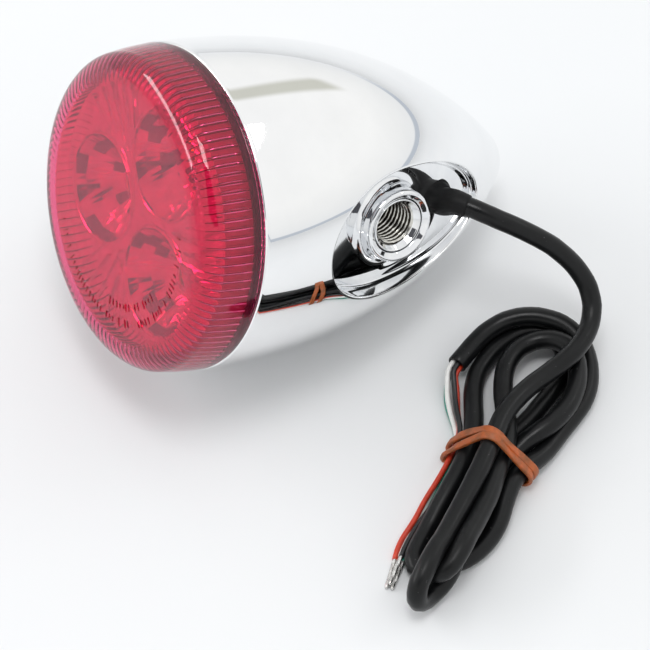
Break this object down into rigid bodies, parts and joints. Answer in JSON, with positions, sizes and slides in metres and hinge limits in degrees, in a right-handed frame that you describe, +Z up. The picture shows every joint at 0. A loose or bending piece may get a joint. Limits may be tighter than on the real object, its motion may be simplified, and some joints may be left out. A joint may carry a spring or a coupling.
{
  "type": "tail light",
  "caption": "Bullet-shaped chrome motorcycle tail light with a red fluted lens, a threaded mount in a side recess and a hanked cable.",
  "frame": {"origin": "centre of the light's own bounding box at the level it rests on; the hank and wires are left out", "axes": "+Z up; -X is the way the lens looks, with the lens raised 20 degrees; -Y is the way the threaded mount looks; the light lies on the belly of its shell"},
  "size_m": [0.1078, 0.1327, 0.0808],
  "materials": {
    "chrome_shell": "bright chrome plate, mirror polished",
    "insert_steel": "machined steel, plain",
    "red_lens": "transparent red, polished",
    "black_rubber": "matt black rubber",
    "mirror_plastic": "vacuum-metallised plastic",
    "board_white": "white solder lacquer",
    "spreader_aluminium": "plain milled",
    "led_body": "white ceramic-filled plastic",
    "led_silicone": "clear silicone, warm tint",
    "screw_steel": "zinc plated",
    "driver_green": "green solder lacquer",
    "black_plastic": "moulded black",
    "resistor_ceramic": "lacquered ceramic",
    "cable_sheath": "satin black sheath",
    "band_rubber": "worn orange-brown rubber",
    "tinned_wire": "tinned copper strands",
    "wire_white": "white insulation",
    "wire_black": "black insulation",
    "wire_red": "red insulation",
    "wire_green": "green insulation"
  },
  "bodies": {
    "root": {"ballast_resistor_1": "resistor_ceramic", "ballast_resistor_2": "resistor_ceramic", "board_screw_1": "screw_steel", "board_screw_2": "screw_steel", "board_screw_3": "screw_steel", "board_spacer_1": "black_plastic", "board_spacer_2": "black_plastic", "cable": "cable_sheath", "cable_grommet": "black_rubber", "cable_hank": "cable_sheath", "cable_inner": "cable_sheath", "cable_tie": "black_plastic", "driver_board": "driver_green", "heat_spreader": "spreader_aluminium", "housing": "chrome_shell", "lead_black": "wire_black", "lead_green": "wire_green", "lead_red": "wire_red", "lead_white": "wire_white", "led_board": "board_white", "led_dome_1": "led_silicone", "led_dome_2": "led_silicone", "led_dome_3": "led_silicone", "led_package_1": "led_body", "led_package_2": "led_body", "led_package_3": "led_body", "lens": "red_lens", "lens_gasket": "black_rubber", "polarity_diode": "black_plastic", "reflector": "mirror_plastic", "rubber_band": "band_rubber", "smoothing_capacitor": "black_plastic", "threaded_insert": "insert_steel", "wire_black": "wire_black", "wire_green": "wire_green", "wire_red": "wire_red", "wire_tip_black": "tinned_wire", "wire_tip_green": "tinned_wire", "wire_tip_red": "tinned_wire", "wire_tip_white": "tinned_wire", "wire_white": "wire_white"}
  },
  "joints": []
}
